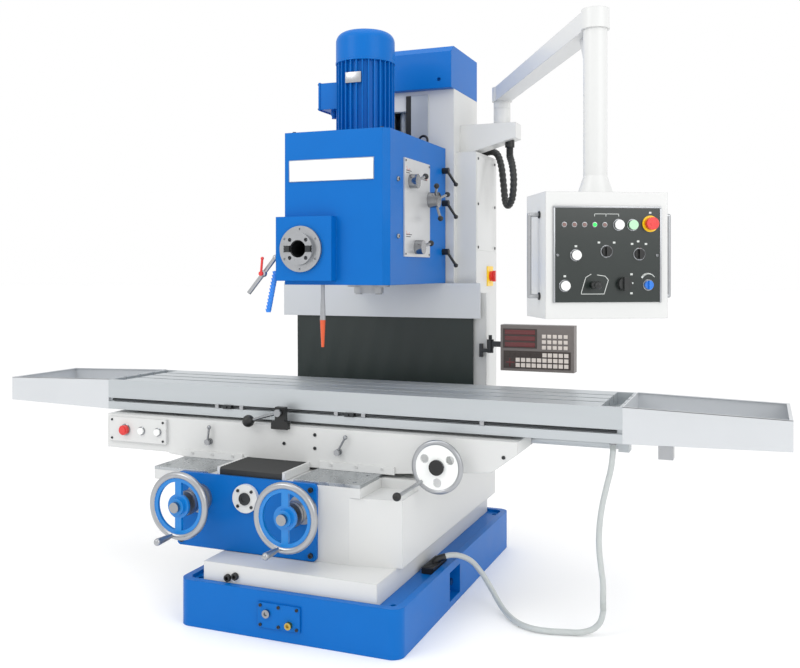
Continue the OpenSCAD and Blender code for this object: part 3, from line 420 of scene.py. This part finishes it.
KEY_LEFT, KEY_STEP = 0.550, 0.0235
paint("dro", DRO_BODY,
      (lambda c: c.y < dro_front + 0.0015
       and c.x - KEY_LEFT > (1.9 if c.z < 0.955 else 6.9) * KEY_STEP, KEYS),
      (lambda c: c.y < dro_front + 0.0035, DRO_FACE),
      (lambda c: c.x < 0.685 and c.z > 0.975 and c.y > 0.28, DARK))

swivel = next(j for j in frame["joints"] if j["name"] == "pendant_swivel")
# The panel's own frame: X across, -Y out of its face, Z up
PEN = (Matrix.Translation((swivel["pos_m"][0], swivel["pos_m"][1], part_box("pendant")[0][2]))
       @ Matrix.Rotation(math.radians(29.5), 4, "Z"))
PEN_INVERSE = PEN.inverted()
PEN_OUT = PEN.to_3x3() @ Vector((0, -1, 0))
PANEL_Y = -0.1125


def pen(test):
    """A test of a point in the panel's own frame."""
    return lambda c: test(PEN_INVERSE @ c)


paint("pendant", WHITE,
      (pen(lambda c: c.y < -0.1163 and (c - Vector((-0.043, c.y, 0.296))).length < 0.007), LAMP_GREEN),
      (pen(lambda c: c.y < -0.1128 and abs(c.z - 0.296) < 0.0065 and c.x < 0.0), LAMP_DIM),
      (pen(lambda c: c.y < -0.1128 and math.hypot(c.x - 0.140, c.z - 0.300) < 0.0265), YELLOW_P),
      (pen(lambda c: c.y < -0.1088), PANEL),
      (pen(lambda c: abs(c.x) > 0.2005), SATIN))

# ---------- way cover, apron and conduit ----------

low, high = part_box("way_bellows")
bm = bmesh.new()
folds = 12
ys = [low[1] + (high[1] - low[1]) * k / (2 * folds) for k in range(2 * folds + 1)]
rows = []
for k, y in enumerate(ys):
    z = high[2] if k % 2 else high[2] - 0.009
    rows.append([bm.verts.new((x, y, zz)) for x, zz in
                 ((low[0] + 0.012, low[2] + 0.001), (low[0] + 0.012, z - 0.003), (low[0] + 0.016, z),
                  ((low[0] + high[0]) / 2, z), (high[0] - 0.016, z), (high[0] - 0.012, z - 0.003),
                  (high[0] - 0.012, low[2] + 0.001))])
for a, b in zip(rows, rows[1:]):
    for k in range(7):
        bm.faces.new((a[k], a[(k + 1) % 7], b[(k + 1) % 7], b[k]))
bm.faces.new(rows[0])
bm.faces.new(list(reversed(rows[-1])))
cover = piece("way_cover", bm, None, RUBBER, smooth=False)
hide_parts("way_bellows")
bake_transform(cover)
bm = bmesh.new()
for x in (low[0], high[0] - 0.012):
    for k in range(12):
        block(bm, (x, low[1] + (high[1] - low[1]) * k / 12, low[2] + 0.001),
              (x + 0.012, low[1] + (high[1] - low[1]) * (k + 1) / 12, high[2] - 0.002))
rails = piece("way_cover_rails", bm, None, WHITE, smooth=False)
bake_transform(rails)

low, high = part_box("apron")
bm = bmesh.new()
cols, row_count = 60, 40
grids = []
for side in (0, 1):
    g = []
    for i in range(row_count + 1):
        z = low[2] + (high[2] - low[2]) * i / row_count
        g.append([bm.verts.new((low[0] + (high[0] - low[0]) * k / cols,
                                low[1] + 0.0035 + 0.0012 * math.sin(k * 0.9 + 2.0 * math.sin(i * 0.13))
                                + 0.0024 * side, z)) for k in range(cols + 1)])
    grids.append(g)
for side, g in enumerate(grids):
    for i in range(row_count):
        for k in range(cols):
            f = (g[i][k], g[i][k + 1], g[i + 1][k + 1], g[i + 1][k])
            bm.faces.new(f if side == 0 else tuple(reversed(f)))
a, b = grids
for i in range(row_count):
    bm.faces.new((a[i][0], a[i + 1][0], b[i + 1][0], b[i][0]))
    bm.faces.new((a[i + 1][cols], a[i][cols], b[i][cols], b[i + 1][cols]))
for k in range(cols):
    bm.faces.new((a[0][k + 1], a[0][k], b[0][k], b[0][k + 1]))
    bm.faces.new((a[row_count][k], a[row_count][k + 1], b[row_count][k + 1], b[row_count][k]))
apron = piece("rubber_apron", bm, None, APRON)
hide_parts("apron")
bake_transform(apron)

MM = 0.001
conduit = smooth_route([tuple(v * MM for v in p) for p in (
    (303, 720, 1910), (320, 720, 1910), (337, 720, 1910), (368, 716, 1912), (398, 700, 1892),
    (424, 672, 1830), (446, 630, 1740), (468, 580, 1660), (494, 540, 1636), (518, 518, 1670),
    (526, 512, 1750), (516, 524, 1820), (501, 539, 1862), (500, 540, 1877), (500, 540, 1891),
    (500, 540, 1905))], 14)
bm = bmesh.new()
tube(bm, conduit, lambda i: 0.0168 if i % 4 < 2 else 0.0146, n=20)
flex = piece("corrugated_conduit", bm, "base", RUBBER)
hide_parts("arm_conduit")

# ---------- screws and small fittings ----------


def screws(name, body, at, axis, r=0.006, h=0.004, material=DARK):
    """Socket-head screws: a chamfered head with a sunk hexagon."""
    bm = bmesh.new()
    for p in at:
        lathe(bm, p, axis, [(r, -0.001), (r, h * 0.75), (r * 0.86, h), (r * 0.5, h)], n=20)
        lathe(bm, p, axis, [(r * 0.5, h), (r * 0.5, h * 0.3), (0, h * 0.3)], n=6)
    return piece(name, bm, body, material)


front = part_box("saddle")[0][1]
screws("saddle_screws", "saddle", [(-0.075, front, 0.672), (-0.075, front, 0.618), (-0.215, front, 0.628),
                                   (0.705, front, 0.640)], (0, -1, 0), r=0.007)
screws("button_plate_screws", "saddle", [(x, front - 0.014, z) for x in (-1.066, -0.798)
                                         for z in (0.597, 0.677)], (0, -1, 0), r=0.005)
FOOT_Y = -0.680
screws("foot_plugs", "base", [(-0.252, FOOT_Y, 0.190), (-0.220, FOOT_Y, 0.199)], (0, -1, 0), r=0.014, h=0.012,
       material=BLACK)
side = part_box("head")[1][0]
screws("head_side_screws", "head", [(side, -0.200, z) for z in (1.700, 1.470)], (1, 0, 0), r=0.010, h=0.008,
       material=CHROME)
screws("side_plate_screws", "head", [(side + 0.006, y, z) for y in (-0.126, 0.154) for z in (1.400, 1.783)],
       (1, 0, 0), r=0.005, material=CHROME)
screws("bracket_screws", "base", [(0.285, y, z) for y in (0.505, 0.740) for z in (1.900, 1.998)], (1, 0, 0),
       r=0.007)
CABINET_SIDE = 0.371
screws("column_side_screws", "base", [(CABINET_SIDE, y, z) for y, z in (
    (0.455, 1.850), (0.735, 1.850), (0.455, 1.440), (0.735, 1.440), (0.735, 1.640), (0.455, 1.640))],
       (1, 0, 0), r=0.007)
bm = bmesh.new()
block(bm, (CABINET_SIDE - 0.0005, 0.440, 1.425), (CABINET_SIDE + 0.0015, 0.750, 1.866), 0.0008)
piece("column_door", bm, "base", WHITE)

# Name plate: a thin raised rim round a blank face
bm = bmesh.new()
for x0, z0, x1, z1 in ((-0.202, 1.692, 0.174, 1.6945), (-0.202, 1.7775, 0.174, 1.780),
                       (-0.202, 1.692, -0.1995, 1.780), (0.1715, 1.692, 0.174, 1.780)):
    block(bm, (x0, -0.3042, z0), (x1, -0.3028, z1), 0.0004)
piece("name_plate_rim", bm, "head", SATIN)

# Symbols of the side plate: arcs and bars, no lettering
bm = bmesh.new()
for y, z in ((-0.095, 1.765), (0.120, 1.745), (-0.100, 1.500)):
    for a in range(7):
        t0 = math.radians(200 + a * 20)
        block(bm, (side + 0.0058, y + 0.020 * math.cos(t0) - 0.003, z + 0.020 * math.sin(t0) - 0.002),
              (side + 0.0066, y + 0.020 * math.cos(t0) + 0.003, z + 0.020 * math.sin(t0) + 0.002))
piece("side_plate_arcs", bm, "head", INK_PINK)
bm = bmesh.new()
for y, z, w in ((-0.120, 1.742, 0.060), (-0.120, 1.733, 0.040), (0.080, 1.720, 0.050), (-0.120, 1.470, 0.050),
                (-0.120, 1.479, 0.064)):
    block(bm, (side + 0.0058, y, z), (side + 0.0066, y + w, z + 0.003))
piece("side_plate_bars", bm, "head", INK_DARK)

# Motor: cowl band, terminal box lid, cable gland, flange screws and a blank plate
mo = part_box("motor")
motor_x, motor_y = 0.0, 0.010
bm = bmesh.new()
lathe(bm, (motor_x, motor_y, mo[1][2] - 0.136), (0, 0, 1),
      [(0.110, 0.0), (0.1286, 0.0), (0.1286, 0.008), (0.110, 0.008)], n=64)
for k in range(9):
    lathe(bm, (motor_x, motor_y, mo[1][2] - 0.0002), (0, 0, 1),
          [(0.018 + 0.008 * k, -0.002), (0.018 + 0.008 * k, 0.0012), (0.021 + 0.008 * k, 0.0012),
           (0.021 + 0.008 * k, -0.002)], n=48)
piece("motor_cowl_rings", bm, "head", BLUE)
bm = bmesh.new()
block(bm, (mo[0][0] - 0.006, -0.054, 2.024), (mo[0][0] + 0.004, 0.074, 2.146), 0.003)
lathe(bm, (-0.150, 0.010, 2.030), (0, 0, -1), [(0.014, 0), (0.014, 0.018), (0.010, 0.024), (0.010, 0.034),
                                             (0, 0.034)], n=24)
piece("terminal_box_lid", bm, "head", BLUE)
screws("terminal_box_screws", "head",
       [(mo[0][0] - 0.006, y, z) for y in (-0.046, 0.066) for z in (2.032, 2.138)],
       (-1, 0, 0), r=0.004)
screws("motor_flange_screws", "head", [(x, y, 1.912) for x in (-0.113, 0.113) for y in (-0.103, 0.123)],
       (0, 0, 1), r=0.009, h=0.010, material=SATIN)
bm = bmesh.new()
block(bm, (-0.036, motor_y - 0.1285, 2.120), (0.036, motor_y - 0.1245, 2.165), 0.001)
piece("motor_plate", bm, "head", SATIN)

# Head: cover screws and two lifting eyes on its top
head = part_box("head")
screws("head_top_screws", "head", [(x, y, head[1][2]) for x in (-0.195, 0.195) for y in (-0.27, 0.0, 0.27)],
       (0, 0, 1), r=0.008, h=0.007)
bm = bmesh.new()
for x in (-0.16, 0.16):
    lathe(bm, (x, 0.300, head[1][2]), (0, 0, 1),
          [(0.018, 0), (0.018, 0.006), (0.010, 0.010), (0, 0.010)], n=24)
    ring = [(x + 0.020 * math.cos(a), 0.300, head[1][2] + 0.030 + 0.020 * math.sin(a))
            for a in [math.radians(k * 15) for k in range(24)]]
    tube(bm, ring + [ring[0]], 0.0055, n=12, caps=False)
piece("lifting_eyes", bm, "head", BLACK)

# Dials of the bed handwheels: graduated rings
bm = bmesh.new()
DIAL_Z = 0.437
for x in (-0.467, -0.008):
    for k in range(72):
        a = math.radians(k * 5)
        h = 0.0065 if k % 6 == 0 else 0.004
        m = (Matrix.Translation((x, -0.6435, DIAL_Z)) @ Matrix.Rotation(a, 4, "Y"))
        block(bm, (-0.0005, -h, 0.0457), (0.0005, 0, 0.0464), m=m)
    lathe(bm, (x, -0.6285, DIAL_Z), (0, -1, 0),
          [(0.0462, 0), (0.0468, 0.0005), (0.0468, 0.003), (0.0462, 0.0035)], n=48)
piece("dial_marks", bm, "base", INK_DARK)

# Table: the trip rod in the front groove, and its clips
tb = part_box("table")
bm = bmesh.new()
lathe(bm, (tb[0][0] + 0.02, tb[0][1] + 0.007, tb[0][2] + 0.042), (1, 0, 0),
      [(0, 0), (0.005, 0), (0.005, tb[1][0] - tb[0][0] - 0.04), (0, tb[1][0] - tb[0][0] - 0.04)], n=12)
piece("trip_rod", bm, "table", DARK)
bm = bmesh.new()
for x in (-0.560, -0.440, 0.0, 0.120, 0.610):
    block(bm, (x - 0.009, tb[0][1] - 0.004, tb[0][2] + 0.033),
          (x + 0.009, tb[0][1] + 0.010, tb[0][2] + 0.051), 0.002)
piece("rod_clips", bm, "table", SATIN)

# Trays: folded rims with welded corners
for n, s in (("tray_left", -1), ("tray_right", 1)):
    lo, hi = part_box(n)
    bm = bmesh.new()
    xa, xb = (abs(lo[0]), abs(hi[0])) if s > 0 else (abs(hi[0]), abs(lo[0]))
    za, zb = hi[2] - 0.0005, hi[2] - 0.0155
    for y0, y1 in ((lo[1], lo[1] + 0.012), (hi[1] - 0.012, hi[1])):
        v = [bm.verts.new((s * x, y, z + dz)) for x, z in ((xa, za), (xb, zb)) for y in (y0, y1)
             for dz in (0, -0.002)]
        for f in ((0, 1, 5, 4), (2, 3, 7, 6), (0, 2, 6, 4), (1, 3, 7, 5), (0, 1, 3, 2), (4, 5, 7, 6)):
            bm.faces.new([v[i] for i in f])
    block(bm, (min(s * (xb - 0.012), s * xb), lo[1], zb - 0.0022),
          (max(s * (xb - 0.012), s * xb), hi[1], zb), 0.0006)
    piece(n + "_rim", bm, "table", TRAY, smooth=False)

# Strainer grid and the hose's elbow that goes into it
bm = bmesh.new()
for k in range(9):
    block(bm, (0.372, -0.282 + 0.017 * k, 0.1845), (0.416, -0.276 + 0.017 * k, 0.1862), 0.0004)
piece("strainer_bars", bm, "base", DARK)
bm = bmesh.new()
tube(bm, smooth_route([(0.430, -0.184, 0.2025), (0.414, -0.196, 0.199), (0.402, -0.205, 0.193),
                       (0.396, -0.209, 0.186), (0.395, -0.210, 0.180)], 6), 0.0132, n=20)
piece("hose_elbow", bm, "base", BLACK)
bm = bmesh.new()
lathe(bm, (OUTLET_X, OUTLET_Y, 0.7045), (0, 0, -1),
      [(0.010, 0), (0.0138, 0.0005), (0.0138, 0.0025), (0.010, 0.003)], n=32)
piece("hose_clip", bm, "table", CHROME)

# Bezels of the saddle's buttons, wide enough for a pressed button
bm = bmesh.new()
for x, r in ((-0.994, 0.0225), (-0.909, 0.0155), (-0.824, 0.0155)):
    lathe(bm, (x, front - 0.0138, 0.636), (0, -1, 0), [(r - 0.0006, 0), (r + 0.003, 0), (r + 0.003, 0.002),
                                                      (r + 0.001, 0.0034), (r - 0.0006, 0.0034),
                                                      (r - 0.0006, 0)], n=32)
piece("saddle_button_bezels", bm, "saddle", CHROME)

# Readout: display windows and side keys
bm = bmesh.new()
for k in range(3):
    block(bm, (0.548, dro_front + 0.0012, 1.000 + 0.027 * k),
          (0.682, dro_front + 0.0042, 1.020 + 0.027 * k), 0.0008)
block(bm, (0.552, dro_front + 0.0013, 0.914), (0.592, dro_front + 0.0042, 0.950), 0.0008)
piece("readout_windows", bm, "dro", LED_RED)
bm = bmesh.new()
for k in range(5):
    for i in range(3):
        block(bm, (0.712 + KEY_STEP * k, dro_front + 0.0005, 0.992 + 0.024 * i),
              (0.729 + KEY_STEP * k, dro_front + 0.0042, 1.008 + 0.024 * i), 0.0012)
piece("readout_side_keys", bm, "dro", KEYS)

# ---------- pendant ----------


def on_panel(bm, x0, z0, x1, z1, proud=0.0006, deep=0.0004):
    """Adds a mark on the panel between two corners of its own plane."""
    block(bm, (x0, PANEL_Y - proud, z0), (x1, PANEL_Y + deep, z1), m=PEN)


def stroke(bm, points, w=0.0016):
    """A line on the panel through points of its own plane."""
    for (xa, za), (xb, zb) in zip(points, points[1:]):
        d = Vector((xb - xa, 0, zb - za))
        a = math.atan2(d.z, d.x)
        m = PEN @ Matrix.Translation((xa, PANEL_Y, za)) @ Matrix.Rotation(-a, 4, "Y")
        block(bm, (-w / 2, -0.0006, -w / 2), (d.length + w / 2, 0.0003, w / 2), m=m)


bm = bmesh.new()
stroke(bm, [(-0.043, 0.323), (-0.043, 0.330), (0.036, 0.330), (0.036, 0.323)])
stroke(bm, [(-0.006, 0.330), (-0.006, 0.323)])
stroke(bm, [(-0.086, 0.084), (-0.072, 0.130), (-0.055, 0.140)], 0.002)
stroke(bm, [(-0.034, 0.138), (-0.008, 0.134), (0.002, 0.122), (-0.012, 0.078), (-0.086, 0.078),
            (-0.086, 0.084)], 0.002)
for k in range(8):
    t0, t1 = math.radians(35 + k * 14), math.radians(35 + (k + 1) * 14)
    r = 0.024
    stroke(bm, [(0.134 + r * math.cos(t0), 0.118 + r * math.sin(t0)),
                (0.134 + r * math.cos(t1), 0.118 + r * math.sin(t1))], 0.002 + 0.0006 * k)
for x, z in ((-0.029, 0.240), (0.021, 0.240), (0.080, 0.236), (0.100, 0.244), (0.126, 0.236), (-0.104, 0.228),
             (-0.140, 0.134), (0.078, 0.140), (0.080, 0.112), (0.078, 0.080), (0.140, 0.335)):
    on_panel(bm, x - 0.004, z - 0.003, x + 0.004, z + 0.003)
piece("panel_legends", bm, "pendant", INK)

bm = bmesh.new()
for x, z, r in ((0.036, 0.296, 0.017), (0.082, 0.296, 0.017), (-0.104, 0.200, 0.017), (-0.004, 0.212, 0.018),
                (0.104, 0.204, 0.018), (-0.140, 0.104, 0.017), (0.134, 0.106, 0.016)):
    at = PEN @ Vector((x, -0.1124, z))
    lathe(bm, at, PEN_OUT, [(r - 0.0015, 0), (r + 0.0022, 0), (r + 0.0022, 0.0018), (r + 0.0008, 0.003),
                            (r - 0.0015, 0.003), (r - 0.0015, 0)], n=32)
piece("button_bezels", bm, "pendant", CHROME)

bm = bmesh.new()
for i in range(5):
    at = PEN @ Vector((-0.142 + 0.033 * i, PANEL_Y, 0.296))
    lathe(bm, at, PEN_OUT, [(0.0062, 0), (0.0085, 0), (0.0085, 0.0016), (0.0062, 0.0022)], n=24)
piece("lamp_rings", bm, "pendant", SATIN)

bm = bmesh.new()
w, z0, z1 = 0.1715, 0.0515, 0.3485
for x0, a0, x1, a1 in ((-w - 0.006, z1, w + 0.006, z1 + 0.006), (-w - 0.006, z0 - 0.001, -w, z1),
                       (w, z0 - 0.001, w + 0.006, z1)):
    block(bm, (x0, -0.1150, a0), (x1, -0.1080, a1), 0.001, m=PEN)
piece("panel_frame", bm, "pendant", SATIN)
screws_at = [PEN @ Vector((x, PANEL_Y, 0.200)) for x in (-0.163, 0.163)]
screws("panel_screws", "pendant", screws_at, PEN_OUT, r=0.0045, h=0.003, material=CHROME)
bm = bmesh.new()
for x in (-1, 1):
    for z in (0.070, 0.330):
        at = PEN @ Vector((x * 0.1995, -0.040, z))
        lathe(bm, at, PEN.to_3x3() @ Vector((x, 0, 0)),
              [(0.0, 0.0), (0.012, 0.0), (0.012, 0.004), (0.0075, 0.006)], n=24)
piece("handle_collars", bm, "pendant", DARK)

# ---------- stage ----------

bm = bmesh.new()
bmesh.ops.create_grid(bm, x_segments=8, y_segments=8, size=60)
pale = finish_of("pale_floor", srgb(246, 246, 246), 0.6, var=0.01, grain=2, bump=0.02, bump_grain=40, lamp=0.1)
floor = piece("floor", bm, None, pale, smooth=False)
floor.location.z = -0.0005
world = bpy.data.worlds.new("studio")
bpy.context.scene.world = world
world.use_nodes = True
world.node_tree.nodes["Background"].inputs[0].default_value = (1.0, 1.0, 1.0, 1)
world.node_tree.nodes["Background"].inputs[1].default_value = 1.0
for name, place, aim, size, power in (
        ("key", (-2.6, -4.2, 4.4), (0, 0, 1.0), 2.6, 66),
        ("fill", (4.6, -2.6, 3.2), (0, 0, 1.0), 3.2, 60),
        ("top", (0.4, -0.6, 5.2), (0, 0, 0.6), 3.4, 36)):
    lamp = bpy.data.objects.new(name, bpy.data.lights.new(name, "AREA"))
    lamp.data.size = size
    lamp.data.energy = power
    lamp.location = place
    lamp.rotation_euler = (Vector(aim) - Vector(place)).to_track_quat("-Z", "Y").to_euler()
    bpy.context.scene.collection.objects.link(lamp)
